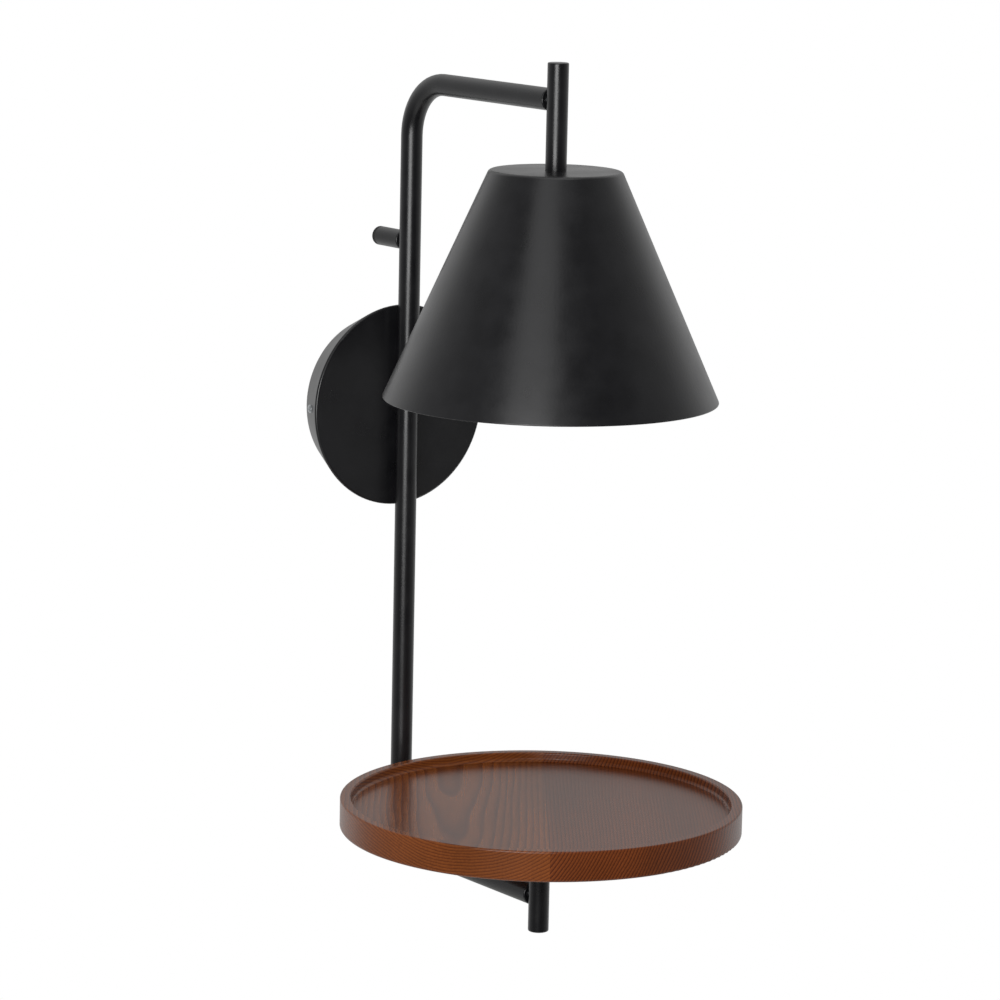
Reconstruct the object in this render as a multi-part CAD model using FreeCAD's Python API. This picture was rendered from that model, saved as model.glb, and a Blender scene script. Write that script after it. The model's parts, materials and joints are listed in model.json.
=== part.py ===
import FreeCAD, Part
import math
import os
from FreeCAD import Vector

# Wall lamp with a round tray.
# Sizes are in millimetres. The wall is the plane y = 0 and the lamp stands out towards -Y.
# +Z is up. The origin is the middle of the wall bracket's screw pattern, on the wall.

# ---------------------------------------------------------------- driving dimensions
# bent frame tube
TUBE_D = 12.7
TUBE_WALL = 1.2
BEND_R = 32.0
REACH = 141.0             # upright axis to stem axis
TOP_ARM_Z = 192.5
LOW_ARM_Z = -266.0
END_ROUND = 0.8

# canopy and what fastens it
CANOPY_FRONT_D = 121.0    # where side and face would meet without the rounding
CANOPY_BACK_D = 100.0
CANOPY_DEPTH = 25.0
CANOPY_WALL = 1.0
CANOPY_INNER_ROUND = 0.3
SADDLE_GAP = 1.0          # canopy face to the back of the upright
SADDLE_D = 12.0
NIPPLE_D = 8.0
NIPPLE_BORE = 5.5
NIPPLE_SPARE = 2.0        # thread that shows past the nut
NIPPLE_PROUD = 1.2        # thread that stands inside the upright's bore
NUT_AF = 13.0
NUT_T = 5.0
SPREAD_D = 24.0
SPREAD_T = 1.5

# wall bracket
BRACKET_T = 2.0
BRACKET_W = 78.0          # the plate without its ears
BRACKET_H = 68.0
BRACKET_GAP = 1.0         # to the inside of the canopy
EAR_DEPTH = 17.0
EAR_H = 12.0
BEND_INSIDE = 1.5
SLOT_SPACING = 60.0
SLOT_W = 5.0
SLOT_L = 12.0
ENTRY_D = 16.0

# side screws that hold the canopy to the bracket
SIDE_SCREW_D = 3.0
SIDE_SCREW_L = 12.0
SIDE_HEAD_D = 5.0
SIDE_HEAD_PROUD = 0.6
SIDE_CONE_H = 1.4
SIDE_DOME_H = 1.0
SIDE_SLOT_W = 0.9
SIDE_SCREW_Y = 12.5       # distance from the wall

# terminal block and earth
POLE_PITCH = 7.0
POLE_GAP = 1.0            # between the housings of two poles
BLOCK_H = 16.0
BLOCK_BASE = 6.5
BLOCK_DEPTH = 12.0
BLOCK_TOP_Z = -18.0
BARREL_D = 4.0
BARREL_WALL = 0.7
BARREL_INSET = 0.8
CLAMP_D = 2.4
CLAMP_INSET = 4.0
CLAMP_SUNK = 0.6
BLOCK_WEB = 8.5           # depth of the web that the block's screw sits on
BLOCK_WEB_H = 5.6
BLOCK_SCREW_D = 2.5
BLOCK_SCREW_HEAD_D = 4.2
BLOCK_SCREW_HEAD_H = 1.8
EARTH_X = 18.0
EARTH_Z = 16.0
EARTH_SCREW_D = 4.0
EARTH_HEAD_D = 7.0
EARTH_HEAD_H = 2.4
TAG_T = 0.8
TAG_D = 8.0
TAG_W = 3.0
TAG_L = 10.0              # from the screw to the barrel's foot
TAG_BARREL_D = 3.2
TAG_BARREL_L = 5.0

# wires
WIRE_D = 1.8
WIRE_GAP = 0.2            # between the two lamp wires
WIRE_LEVEL = 8.0          # distance of the block's wire holes from the wall
WIRE_GRIP = 6.0           # length held in the block
WIRE_BEND_R = 6.0
WIRE_TIGHT_R = 5.0

# wall peg
PEG_D = 11.2
PEG_Z = 98.5
PEG_STUD_D = 5.0
PEG_STUD_L = 9.0          # length in the peg
BUMPER_T = 3.6
BUMPER_ROUND = 1.5
BUMPER_STALK_D = 4.0
BUMPER_STALK_L = 7.0

# stem and stub, the two short upright tubes at the ends of the arms
STEM_D = 12.0
STEM_WALL = 1.5
STEM_RISE = 21.0          # arm axis to the top of the stem
STEM_DROP = 39.0          # arm axis to the shade
STUB_DROP = 20.5          # arm axis to the foot of the stub
STUB_RISE = 37.5          # arm axis to the tray plate
PLUG_L = 4.0
STUD_D = 6.4
STUD_BORE = 4.8
STUD_PROUD = 0.5          # stands inside the stem's bore
STUD_INSET = 1.0          # stops short of the plug's inner end
END_PLUG_L = 10.0

# shade
SHADE_TOP_D = 75.0
SHADE_RIM_D = 190.5
SHADE_H = 129.5
SHADE_WALL = 1.0
SHADE_INNER_ROUND = 1.5
HEM_H = 4.0

# lampholder
STEM_THREAD_WALL = 1.0    # left of the stem round its inner thread
ENTRY_WALL = 1.3
THREAD_IN_STEM = 11.0
THREAD_IN_HOLDER = 9.0
HOLDER_WASHER_D = 24.0
HOLDER_WASHER_T = 1.5
HOLDER_SKIRT = 4.4        # from the threaded sleeve to the outside
HOLDER_WALL = 2.0
HOLDER_NECK_WALL = 4.0
HOLDER_NECK_H = 6.0
HOLDER_DOME_H = 9.0
HOLDER_CAP_H = 27.0
HOLDER_BARREL_H = 30.0
HOLDER_THREAD_H = 6.0
HOLDER_BAND_H = 3.0
HOLDER_FOOT_WALL = 1.8
CORE_H = 10.0
CORE_DROP = 3.0           # core's top below the top of the barrel's thread
SCREW_SHELL_D = 27.2      # inside of the threaded sleeve
SCREW_SHELL_T = 0.5
SCREW_SHELL_H = 20.0
POST_X = 7.0
POST_D = 4.0
POST_SUNK = 4.0
POST_H = 4.0
BLADE_L = 9.0
BLADE_W = 4.0
BLADE_T = 0.5
BLADE_DROP = 1.0
RIVET_D = 3.0
RIVET_L = 5.0

# bulb
BULB_CAP_H = 22.0
BULB_CAP_WALL = 0.6
BULB_GLASS_D = 45.0
BULB_GLASS_H = 51.0
BULB_GLASS_WALL = 0.8
BULB_NECK_IN_CAP = 6.0
BULB_NECK_ROUND = 9.0
BULB_CONE_H = 3.5
BULB_CONE_LIP = 0.8
BULB_TIP_D = 9.6
BULB_TIP_H = 1.2
BULB_GAP = 0.3            # contact blade to the bulb's tip
BULB_SIDE_GAP = 0.5       # sleeve to cap

# tray
TRAY_D = 231.0
TRAY_T = 17.5
TRAY_WELL = 5.5
TRAY_RIM_W = 6.5
TRAY_EDGE_TOP = 1.0
TRAY_EDGE_BOTTOM = 1.8
TRAY_COVE = 2.0
PLATE_D = 70.0
PLATE_T = 3.0
PLATE_ROUND = 0.8
PLATE_PCD = 52.0
PLATE_SCREWS = 4
WOOD_SCREW_D = 4.0
WOOD_SCREW_L = 8.0        # length in the tray
WOOD_HEAD_D = 8.0
WOOD_HEAD_H = 2.4

CLEARANCE = 0.4           # plain holes round a thread

# ---------------------------------------------------------------- places that follow from them
CANOPY_SLOPE = (CANOPY_FRONT_D - CANOPY_BACK_D) / 2 / CANOPY_DEPTH
CANOPY_SIDE_WALL = CANOPY_WALL * math.hypot(1, CANOPY_SLOPE)
BRACKET_ROOM_R = CANOPY_BACK_D / 2 - CANOPY_SIDE_WALL - BRACKET_GAP
EAR_X = math.sqrt(BRACKET_ROOM_R ** 2 - (EAR_H / 2) ** 2)
UPRIGHT_Y = -(CANOPY_DEPTH + SADDLE_GAP + TUBE_D / 2)
STEM_Y = UPRIGHT_Y - REACH
ARM_END_Y = STEM_Y + STEM_D / 2
TUBE_BORE = TUBE_D - 2 * TUBE_WALL
STEM_BORE = STEM_D - 2 * STEM_WALL
UPRIGHT_BACK_Y = UPRIGHT_Y + TUBE_D / 2
UPRIGHT_INSIDE_Y = UPRIGHT_Y + TUBE_BORE / 2
STEM_INSIDE_Y = STEM_Y + STEM_BORE / 2
STEM_TOP_Z = TOP_ARM_Z + STEM_RISE
SHADE_TOP_Z = TOP_ARM_Z - STEM_DROP
SHADE_RIM_Z = SHADE_TOP_Z - SHADE_H
STUB_FOOT_Z = LOW_ARM_Z - STUB_DROP
PLATE_Z = LOW_ARM_Z + STUB_RISE
TRAY_Z = PLATE_Z + PLATE_T
TRAY_FLOOR_Z = TRAY_Z + TRAY_T - TRAY_WELL
ENTRY_THREAD_D = STEM_D - 2 * STEM_THREAD_WALL
ENTRY_BORE = ENTRY_THREAD_D - 2 * ENTRY_WALL
SPREAD_Y = -CANOPY_DEPTH + CANOPY_WALL
NUT_Y = SPREAD_Y + SPREAD_T
NIPPLE_END_Y = NUT_Y + NUT_T + NIPPLE_SPARE
BLOCK_FOOT_Z = BLOCK_TOP_Z - BLOCK_H
BLOCK_FRONT_Y = -BRACKET_T - BLOCK_DEPTH
TAG_BARREL_Y = -BRACKET_T - TAG_BARREL_D / 2
HOLDER_TOP_Z = SHADE_TOP_Z - SHADE_WALL - HOLDER_WASHER_T
HOLDER_SEAM_Z = HOLDER_TOP_Z - HOLDER_CAP_H
NIPPLE_FOOT_Z = HOLDER_TOP_Z - THREAD_IN_HOLDER
CORE_TOP_Z = HOLDER_SEAM_Z + HOLDER_THREAD_H - CORE_DROP
CORE_D = SCREW_SHELL_D + 2 * SCREW_SHELL_T
HOLDER_D = CORE_D + 2 * HOLDER_SKIRT
SCREW_SHELL_TOP_Z = CORE_TOP_Z - CORE_H
BULB_CAP_D = SCREW_SHELL_D - 2 * BULB_SIDE_GAP
BULB_NECK_D = BULB_CAP_D - 2 * BULB_CAP_WALL
BULB_TIP_Z = SCREW_SHELL_TOP_Z - BLADE_DROP - BULB_GAP
BULB_CONE_Z = BULB_TIP_Z - BULB_TIP_H
BULB_CAP_TOP_Z = BULB_CONE_Z - BULB_CONE_H
BULB_CAP_FOOT_Z = BULB_CAP_TOP_Z - BULB_CAP_H

X_AXIS = Vector(1, 0, 0)
Y_AXIS = Vector(0, 1, 0)
Z_AXIS = Vector(0, 0, 1)


# ---------------------------------------------------------------- general forms
def rod(diameter, start, end):
    """A round bar between two points."""
    run = end - start
    return Part.makeCylinder(diameter / 2, run.Length, start, run)


def tube(diameter, bore, start, end):
    """A straight tube between two points."""
    return rod(diameter, start, end).cut(rod(bore, start, end))


def turned(profile, base, axis):
    """A closed outline of (radius, height) points turned about an axis through base."""
    points = [Vector(radius, 0, height) for radius, height in profile]
    face = Part.Face(Part.makePolygon(points + points[:1]))
    solid = face.revolve(Vector(0, 0, 0), Z_AXIS, 360)
    solid.Placement = FreeCAD.Placement(base, FreeCAD.Rotation(Z_AXIS, axis))
    return solid


def round_edges(solid, radius, keep):
    """Fillet the edges that pass the test keep."""
    edges = [edge for edge in solid.Edges if keep(edge)]
    return solid.makeFillet(radius, edges)


def is_ring_at(axis_name, place, diameter):
    """A test for round edges of one diameter in the plane where an axis has one value."""
    def test(edge):
        if edge.Degenerated or not isinstance(edge.Curve, Part.Circle):
            return False
        same_place = abs(getattr(edge.CenterOfMass, axis_name) - place) < 0.01
        return same_place and abs(edge.Curve.Radius - diameter / 2) < 0.01
    return test


def hexagon(across_flats, height, base, axis):
    """A hexagonal block."""
    radius = across_flats / 2 / math.cos(math.pi / 6)
    corners = []
    for step in range(7):
        angle = math.pi / 3 * step
        corners.append(Vector(radius * math.cos(angle), radius * math.sin(angle), 0))
    solid = Part.Face(Part.makePolygon(corners)).extrude(Vector(0, 0, height))
    solid.Placement = FreeCAD.Placement(base, FreeCAD.Rotation(Z_AXIS, axis))
    return solid


def bent_path(points, radii):
    """Straight runs between points, joined by arcs that touch both runs."""
    edges = []
    start = points[0]
    for index, radius in enumerate(radii, start=1):
        corner = points[index]
        back = (points[index - 1] - corner).normalize()
        ahead = (points[index + 1] - corner).normalize()
        half_angle = back.getAngle(ahead) / 2
        setback = radius / math.tan(half_angle)
        arc_start = corner + back * setback
        arc_end = corner + ahead * setback
        bisector = (back + ahead).normalize()
        middle = corner + bisector * (radius / math.sin(half_angle) - radius)
        edges.append(Part.LineSegment(start, arc_start).toShape())
        edges.append(Part.Arc(arc_start, middle, arc_end).toShape())
        start = arc_end
    edges.append(Part.LineSegment(start, points[-1]).toShape())
    return Part.Wire(edges)


def bar_along(path, diameter):
    """A round bar swept along a path of runs and arcs."""
    first = path.OrderedEdges[0]
    start = first.valueAt(first.FirstParameter)
    direction = first.tangentAt(first.FirstParameter)
    section = Part.Wire(Part.Circle(start, direction, diameter / 2).toShape())
    return path.makePipeShell([section], True, False)


def slotted_pan_screw(diameter, length, head_diameter, head_height, seat, axis):
    """A screw whose head rests on seat and whose shank runs along axis."""
    slot_w = head_diameter * 0.14
    shank = Part.makeCylinder(diameter / 2, length)
    head = Part.makeCylinder(head_diameter / 2, head_height, Vector(0, 0, -head_height))
    head = round_edges(head, head_height * 0.45, is_ring_at("z", -head_height, head_diameter))
    slot = Part.makeBox(head_diameter, slot_w, head_height / 2)
    slot.translate(Vector(-head_diameter / 2, -slot_w / 2, -head_height))
    screw = head.fuse(shank).removeSplitter().cut(slot)
    screw.Placement = FreeCAD.Placement(seat, FreeCAD.Rotation(Z_AXIS, axis))
    return screw


# ---------------------------------------------------------------- canopy and wall fixing
def side_screw_envelope(side, diameter):
    """The head, cone and shank of one side screw, as one turned form."""
    head_x = CANOPY_BACK_D / 2 + CANOPY_SLOPE * SIDE_SCREW_Y + SIDE_HEAD_PROUD
    base = Vector(side * head_x, -SIDE_SCREW_Y, 0)
    inward = Vector(-side, 0, 0)
    profile = [(0, 0), (SIDE_HEAD_D / 2, 0), (diameter / 2, SIDE_CONE_H),
               (diameter / 2, SIDE_SCREW_L), (0, SIDE_SCREW_L)]
    return turned(profile, base, inward), base, inward


def side_screw(side):
    """Oval-head screw: the cone sits in the canopy and the thread bites in the bracket's ear."""
    body, base, inward = side_screw_envelope(side, SIDE_SCREW_D)
    radius = SIDE_HEAD_D / 2
    ball_r = (radius ** 2 + SIDE_DOME_H ** 2) / 2 / SIDE_DOME_H
    ball = Part.makeSphere(ball_r, base + inward * (ball_r - SIDE_DOME_H))
    dome = ball.common(rod(SIDE_HEAD_D, base, base - inward * SIDE_DOME_H))
    slot = Part.makeBox(2 * SIDE_DOME_H, SIDE_HEAD_D, SIDE_SLOT_W)
    slot_x = base.x + side * SIDE_DOME_H * 1.4 - SIDE_DOME_H
    slot.translate(Vector(slot_x, base.y - SIDE_HEAD_D / 2, -SIDE_SLOT_W / 2))
    return body.fuse(dome).removeSplitter().cut(slot)


def side_screws():
    """The canopy's two side screws."""
    return Part.makeCompound([side_screw(-1), side_screw(1)])


def canopy_cover():
    """Pressed steel dish whose side tapers in towards the wall."""
    front = Vector(0, -CANOPY_DEPTH, 0)
    shell = Part.makeCone(CANOPY_FRONT_D / 2, CANOPY_BACK_D / 2, CANOPY_DEPTH, front, Y_AXIS)
    outer_round = CANOPY_INNER_ROUND + CANOPY_WALL
    shell = round_edges(shell, outer_round, is_ring_at("y", -CANOPY_DEPTH, CANOPY_FRONT_D))
    inner_front = CANOPY_FRONT_D / 2 - CANOPY_SLOPE * CANOPY_WALL - CANOPY_SIDE_WALL
    inner_back = inner_front - CANOPY_SLOPE * CANOPY_DEPTH
    hollow = Part.makeCone(inner_front, inner_back, CANOPY_DEPTH,
                           front + Vector(0, CANOPY_WALL, 0), Y_AXIS)
    hollow = round_edges(hollow, CANOPY_INNER_ROUND,
                         is_ring_at("y", CANOPY_WALL - CANOPY_DEPTH, 2 * inner_front))
    cover = shell.cut(hollow)
    cover = cover.cut(rod(NIPPLE_D + CLEARANCE, front - Y_AXIS, front + Y_AXIS * 5))
    for side in (-1, 1):
        envelope, base, inward = side_screw_envelope(side, SIDE_SCREW_D + CLEARANCE)
        outward_clear = rod(SIDE_HEAD_D, base, base - inward * 5)
        cover = cover.cut(envelope).cut(outward_clear)
    return cover


def slot_hole(x):
    """A level slot through the bracket's plate."""
    half_run = (SLOT_L - SLOT_W) / 2
    left = Vector(x - half_run, -BRACKET_T, 0)
    right = Vector(x + half_run, -BRACKET_T, 0)
    through = Y_AXIS * BRACKET_T
    middle = Part.makeBox(2 * half_run, BRACKET_T, SLOT_W, left - Z_AXIS * (SLOT_W / 2))
    ends = rod(SLOT_W, left, left + through).fuse(rod(SLOT_W, right, right + through))
    return ends.fuse(middle).removeSplitter()


def bracket_blank():
    """The bracket seen from the front, as a thick block."""
    depth = EAR_DEPTH + 2
    strap = Part.makeBox(2 * EAR_X, depth, EAR_H, Vector(-EAR_X, 1 - depth, -EAR_H / 2))
    corner = Vector(-BRACKET_W / 2, 1 - depth, -BRACKET_H / 2)
    plate = Part.makeBox(BRACKET_W, depth, BRACKET_H, corner)
    plate = plate.common(rod(2 * BRACKET_ROOM_R, Vector(0, 1 - depth, 0), Vector(0, 1, 0)))
    return plate.fuse(strap).removeSplitter()


def bracket_channel(half_width, back_y, bend_r):
    """A block whose two back edges are rounded as the sheet is where it bends."""
    corner = Vector(-half_width, back_y - EAR_DEPTH, -BRACKET_H / 2)
    block = Part.makeBox(2 * half_width, EAR_DEPTH, BRACKET_H, corner)
    bends = [edge for edge in block.Edges
             if abs(edge.CenterOfMass.y - back_y) < 0.01 and abs(edge.CenterOfMass.z) < 0.01]
    return block.makeFillet(bend_r, bends)


def wall_bracket():
    """Steel plate on the wall with two ears bent forward for the side screws."""
    outer = bracket_channel(EAR_X, 0, BEND_INSIDE + BRACKET_T)
    inner = bracket_channel(EAR_X - BRACKET_T, -BRACKET_T, BEND_INSIDE)
    bracket = outer.cut(inner).common(bracket_blank())
    for side in (-1, 1):
        bracket = bracket.cut(slot_hole(side * SLOT_SPACING / 2))
        ear = Vector(side * EAR_X, -SIDE_SCREW_Y, 0)
        bracket = bracket.cut(rod(SIDE_SCREW_D, ear, ear - X_AXIS * (side * BRACKET_T)))
    for diameter, x, z in [(ENTRY_D, 0, 0), (EARTH_SCREW_D, EARTH_X, EARTH_Z),
                           (BLOCK_SCREW_D, POLE_PITCH / 2, BLOCK_TOP_Z - BLOCK_H / 2)]:
        bracket = bracket.cut(rod(diameter, Vector(x, -BRACKET_T, z), Vector(x, 0, z)))
    return bracket


def canopy_nipple():
    """Hollow threaded stud that carries the frame on the canopy and lets the wires through."""
    front = Vector(0, UPRIGHT_INSIDE_Y - NIPPLE_PROUD, 0)
    return tube(NIPPLE_D, NIPPLE_BORE, Vector(0, NIPPLE_END_Y, 0), front)


def canopy_nut():
    """Hexagon nut whose free face is chamfered."""
    seat = Vector(0, NUT_Y, 0)
    nut = hexagon(NUT_AF, NUT_T, seat, Y_AXIS)
    crown = Part.makeCone(NUT_AF / 2 + NUT_T, NUT_AF / 2, NUT_T, seat, Y_AXIS)
    return nut.common(crown).cut(rod(NIPPLE_D, seat, seat + Y_AXIS * NUT_T))


def spread_washer():
    """Wide washer that spreads the pull of the nut over the canopy's thin face."""
    return tube(SPREAD_D, NIPPLE_D + CLEARANCE, Vector(0, SPREAD_Y, 0), Vector(0, NUT_Y, 0))


def saddle_spacer():
    """Spacer with a flat back and a front hollowed to the upright's round back."""
    start = Vector(0, -CANOPY_DEPTH, 0)
    end = Vector(0, UPRIGHT_Y, 0)
    spacer = tube(SADDLE_D, NIPPLE_D + CLEARANCE, start, end)
    upright = rod(TUBE_D, Vector(0, UPRIGHT_Y, -SADDLE_D), Vector(0, UPRIGHT_Y, SADDLE_D))
    return spacer.cut(upright)


# ---------------------------------------------------------------- terminals and wires
def pole_places():
    return [-POLE_PITCH, 0.0, POLE_PITCH]


def clamp_levels():
    return [BLOCK_FOOT_Z + CLAMP_INSET, BLOCK_TOP_Z - CLAMP_INSET]


def clamp_places():
    """The middle of each clamp screw's hole, on the wire's axis."""
    return [Vector(x, -WIRE_LEVEL, z) for x in pole_places() for z in clamp_levels()]


def block_screw_seat():
    """The middle of the seat of the screw between two poles."""
    return Vector(POLE_PITCH / 2, -BRACKET_T - BLOCK_WEB, BLOCK_TOP_Z - BLOCK_H / 2)


def terminal_block():
    """Three-pole block with a round housing over each brass barrel."""
    width = 3 * POLE_PITCH
    housing_d = POLE_PITCH - POLE_GAP
    corner = Vector(-width / 2, -BRACKET_T - BLOCK_BASE, BLOCK_FOOT_Z)
    body = Part.makeBox(width, BLOCK_BASE, BLOCK_H, corner)
    for x in pole_places():
        foot = Vector(x, -WIRE_LEVEL, BLOCK_FOOT_Z)
        body = body.fuse(rod(housing_d, foot, foot + Z_AXIS * BLOCK_H))
    for place in clamp_places():
        front = Vector(place.x, BLOCK_FRONT_Y, place.z)
        body = body.fuse(rod(housing_d - POLE_GAP, place, front))
    seat = block_screw_seat()
    web_corner = Vector(0, seat.y, seat.z - BLOCK_WEB_H / 2)
    web = Part.makeBox(POLE_PITCH, BLOCK_WEB, BLOCK_WEB_H, web_corner)
    body = body.fuse(web).removeSplitter()
    for x in pole_places():
        foot = Vector(x, -WIRE_LEVEL, BLOCK_FOOT_Z)
        body = body.cut(rod(BARREL_D, foot, foot + Z_AXIS * BLOCK_H))
    for place in clamp_places():
        body = body.cut(rod(CLAMP_D, place, Vector(place.x, BLOCK_FRONT_Y, place.z)))
    body = body.cut(rod(BLOCK_SCREW_D + CLEARANCE, seat, seat + Y_AXIS * BLOCK_WEB))
    return body.cut(rod(BLOCK_SCREW_HEAD_D + CLEARANCE, seat, seat - Y_AXIS * BLOCK_WEB))


def terminal_barrels():
    """Brass barrels that join each lamp wire to the wire from the wall."""
    barrels = []
    bore = BARREL_D - 2 * BARREL_WALL
    for x in pole_places():
        foot = Vector(x, -WIRE_LEVEL, BLOCK_FOOT_Z + BARREL_INSET)
        barrel = tube(BARREL_D, bore, foot, foot + Z_AXIS * (BLOCK_H - 2 * BARREL_INSET))
        for place in clamp_places():
            barrel = barrel.cut(rod(CLAMP_D, place, place - Y_AXIS * BARREL_D))
        barrels.append(barrel)
    return Part.makeCompound(barrels)


def terminal_screws():
    """Headless screws that clamp the wires in the barrels."""
    screws = []
    head_y = BLOCK_FRONT_Y + CLAMP_SUNK
    for place in clamp_places():
        tip = place - Y_AXIS * (WIRE_D / 2)
        screw = rod(CLAMP_D, tip, Vector(place.x, head_y, place.z))
        slot = Part.makeBox(CLAMP_D, CLAMP_SUNK, CLAMP_SUNK)
        slot.translate(Vector(place.x - CLAMP_D / 2, head_y, place.z - CLAMP_SUNK / 2))
        screws.append(screw.cut(slot))
    return Part.makeCompound(screws)


def block_screw():
    """Screw between two poles that fixes the block to the bracket."""
    return slotted_pan_screw(BLOCK_SCREW_D, BRACKET_T + BLOCK_WEB, BLOCK_SCREW_HEAD_D,
                             BLOCK_SCREW_HEAD_H, block_screw_seat(), Y_AXIS)


def earth_tag():
    """Ring terminal under the earth screw, with a barrel for the wire."""
    seat = Vector(EARTH_X, -BRACKET_T, EARTH_Z)
    ring = rod(TAG_D, seat, seat - Y_AXIS * TAG_T)
    foot = Vector(EARTH_X, TAG_BARREL_Y, EARTH_Z - TAG_L)
    neck_corner = Vector(EARTH_X - TAG_W / 2, -BRACKET_T - TAG_T, foot.z + TAG_BARREL_D / 2)
    neck = Part.makeBox(TAG_W, TAG_T, EARTH_Z - neck_corner.z, neck_corner)
    barrel = rod(TAG_BARREL_D, foot, foot + Z_AXIS * TAG_BARREL_L)
    tag = ring.fuse(neck).fuse(barrel).removeSplitter()
    tag = tag.cut(rod(WIRE_D, foot, foot + Z_AXIS * (TAG_BARREL_L - TAG_T)))
    return tag.cut(rod(EARTH_SCREW_D + CLEARANCE, seat, seat - Y_AXIS * TAG_BARREL_D))


def earth_screw():
    """Screw that clamps the earth tag on the bracket."""
    seat = Vector(EARTH_X, -BRACKET_T - TAG_T, EARTH_Z)
    return slotted_pan_screw(EARTH_SCREW_D, BRACKET_T + TAG_T, EARTH_HEAD_D, EARTH_HEAD_H,
                             seat, Y_AXIS)


def earth_wire():
    """Wire from the block's third pole to the earth tag."""
    grip_z = BLOCK_TOP_Z - WIRE_GRIP
    tag_foot_z = EARTH_Z - TAG_L
    end_z = tag_foot_z + TAG_BARREL_L - TAG_T
    path = bent_path([
        Vector(POLE_PITCH, -WIRE_LEVEL, grip_z),
        Vector(POLE_PITCH, -WIRE_LEVEL, BLOCK_TOP_Z + 6.0),
        Vector(EARTH_X, TAG_BARREL_Y, tag_foot_z - 7.0),
        Vector(EARTH_X, TAG_BARREL_Y, end_z)], [WIRE_BEND_R, WIRE_BEND_R])
    return bar_along(path, WIRE_D)


def lamp_wire(side, pole_x):
    """One wire from the block, through the frame's bore, to the lampholder."""
    x = side * (WIRE_D + WIRE_GAP) / 2
    post_x = side * POST_X
    post_top_z = CORE_TOP_Z + POST_H
    points = [
        Vector(pole_x, -WIRE_LEVEL, BLOCK_TOP_Z - WIRE_GRIP),
        Vector(pole_x, -WIRE_LEVEL, BLOCK_TOP_Z + 2.5),
        Vector(x, -WIRE_LEVEL, -8.0),
        Vector(x, -WIRE_LEVEL, 0),
        Vector(x, UPRIGHT_Y, 0),
        Vector(x, UPRIGHT_Y, TOP_ARM_Z),
        Vector(x, STEM_Y, TOP_ARM_Z),
        Vector(x, STEM_Y, NIPPLE_FOOT_Z - 3.5),
        Vector(post_x, STEM_Y, post_top_z + 2.0),
        Vector(post_x, STEM_Y, post_top_z)]
    radii = [WIRE_TIGHT_R, WIRE_TIGHT_R, WIRE_BEND_R, WIRE_TIGHT_R, BEND_R, WIRE_TIGHT_R,
             WIRE_TIGHT_R, WIRE_D]
    return bar_along(bent_path(points, radii), WIRE_D)


# ---------------------------------------------------------------- frame
def frame_path():
    """Centre line of the bent tube: top arm, upright, lower arm."""
    return bent_path([
        Vector(0, ARM_END_Y, TOP_ARM_Z),
        Vector(0, UPRIGHT_Y, TOP_ARM_Z),
        Vector(0, UPRIGHT_Y, LOW_ARM_Z),
        Vector(0, ARM_END_Y, LOW_ARM_Z)], [BEND_R, BEND_R])


def upright_tube():
    """One length of tube, bent twice, with flat ends that meet the stem and the stub."""
    path = frame_path()
    outside = bar_along(path, TUBE_D)
    outside = round_edges(outside, END_ROUND, is_ring_at("y", ARM_END_Y, TUBE_D))
    body = outside.cut(bar_along(path, TUBE_BORE))
    body = body.cut(rod(NIPPLE_D, Vector(0, 0, 0), Vector(0, UPRIGHT_Y, 0)))
    return body.cut(rod(PEG_STUD_D, Vector(0, 0, PEG_Z), Vector(0, UPRIGHT_Y, PEG_Z)))


def end_plug(level):
    """Plug pressed into an arm's end, tapped for the joint stud."""
    inner = Vector(0, ARM_END_Y + END_PLUG_L, level)
    outer = Vector(0, ARM_END_Y, level)
    return tube(TUBE_BORE, STUD_D, inner, outer)


def joint_stud(level, bore):
    """Stud that ties an arm's end to the short upright tube it touches."""
    inner = Vector(0, ARM_END_Y + END_PLUG_L - STUD_INSET, level)
    outer = Vector(0, STEM_INSIDE_Y - STUD_PROUD, level)
    stud = rod(STUD_D, inner, outer)
    if bore:
        stud = stud.cut(rod(bore, inner, outer))
    return stud


def wall_peg():
    """Bar that keeps the upright off the wall above the canopy."""
    front = Vector(0, UPRIGHT_BACK_Y, PEG_Z)
    back = Vector(0, -BUMPER_T, PEG_Z)
    bar = rod(PEG_D, front, back)
    bar = round_edges(bar, END_ROUND, is_ring_at("y", UPRIGHT_BACK_Y, PEG_D))
    bar = bar.cut(rod(PEG_STUD_D, front, front + Y_AXIS * PEG_STUD_L))
    return bar.cut(rod(BUMPER_STALK_D, back, back - Y_AXIS * BUMPER_STALK_L))


def peg_stud():
    """Stud that ties the peg to the upright."""
    front = Vector(0, UPRIGHT_INSIDE_Y - NIPPLE_PROUD, PEG_Z)
    return rod(PEG_STUD_D, front, Vector(0, UPRIGHT_BACK_Y + PEG_STUD_L, PEG_Z))


def wall_bumper():
    """Rubber foot that presses on the wall."""
    back = Vector(0, 0, PEG_Z)
    seat = Vector(0, -BUMPER_T, PEG_Z)
    head = rod(PEG_D, seat, back)
    head = round_edges(head, BUMPER_ROUND, is_ring_at("y", 0, PEG_D))
    stalk = rod(BUMPER_STALK_D, seat, seat - Y_AXIS * BUMPER_STALK_L)
    return head.fuse(stalk).removeSplitter()


# ---------------------------------------------------------------- stem, stub and their plugs
def short_tube(foot_z, top_z, arm_z):
    """A short upright tube with a hole in its back for the joint stud."""
    body = rod(STEM_D, Vector(0, STEM_Y, foot_z), Vector(0, STEM_Y, top_z))
    body = body.cut(rod(STEM_BORE, Vector(0, STEM_Y, foot_z - 1), Vector(0, STEM_Y, top_z + 1)))
    return body.cut(rod(STUD_D, Vector(0, STEM_Y, arm_z), Vector(0, ARM_END_Y + 1, arm_z)))


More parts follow.
